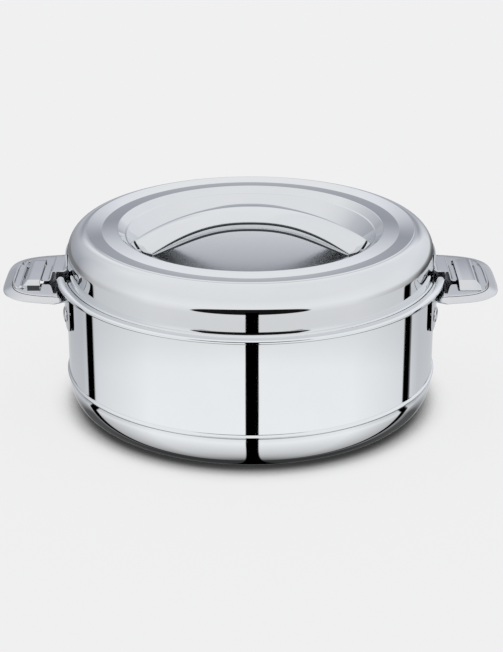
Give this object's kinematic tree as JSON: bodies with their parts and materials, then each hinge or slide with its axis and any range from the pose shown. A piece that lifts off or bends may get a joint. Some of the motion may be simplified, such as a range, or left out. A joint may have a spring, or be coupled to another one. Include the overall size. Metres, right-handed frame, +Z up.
{
  "type": "insulated casserole",
  "caption": "Double-walled steel casserole with foam insulation, side handles, a hinged domed lid with a recessed strap handle, and a sliding lid lock.",
  "frame": {"origin": "on the pot's axis at the height of the surface it stands on", "axes": "+Z up along the pot's axis; X along the line of the two side handles, with the lid's hinge at -X and the sliding lock at +X; the pictured front faces -Y"},
  "size_m": [0.3, 0.237, 0.1233],
  "materials": {
    "polished_steel": "mirror polished stainless steel",
    "handle_steel": "mirror polished stainless steel pressings",
    "satin_steel": "plain mill finish stainless steel",
    "rivet_steel": "polished rivet steel",
    "foam": "rigid polyurethane foam",
    "plug_plastic": "moulded plastic",
    "silicone": "translucent silicone"
  },
  "bodies": {
    "body": {"outer_shell": "polished_steel", "inner_bowl": "polished_steel", "body_insulation": "foam", "base_plug": "plug_plastic", "left_handle": "handle_steel", "right_handle": "handle_steel", "left_backing_plate": "satin_steel", "right_backing_plate": "satin_steel", "left_rivet_front": "rivet_steel", "left_rivet_back": "rivet_steel", "right_rivet_front": "rivet_steel", "right_rivet_back": "rivet_steel"},
    "lid": {"lid_cover": "polished_steel", "lid_liner": "satin_steel", "lid_insulation": "foam", "lid_plug": "plug_plastic", "lid_seal": "silicone", "lid_strap_handle": "polished_steel", "left_lid_bracket": "handle_steel", "right_lid_bracket": "handle_steel"},
    "lock": {"lock_slider": "handle_steel", "lock_retainer": "satin_steel", "lock_spring": "satin_steel"}
  },
  "joints": [
    {"name": "lid_hinge", "type": "hinge", "parent": "body", "child": "lid", "pos_m": [-0.1264, 0, 0.0811], "axis": [0, -1, 0], "range_deg": [0, 75]},
    {"name": "lock_slide", "type": "slide", "parent": "body", "child": "lock", "axis": [-1, 0, 0], "range_m": [0, 0.0035]}
  ]
}
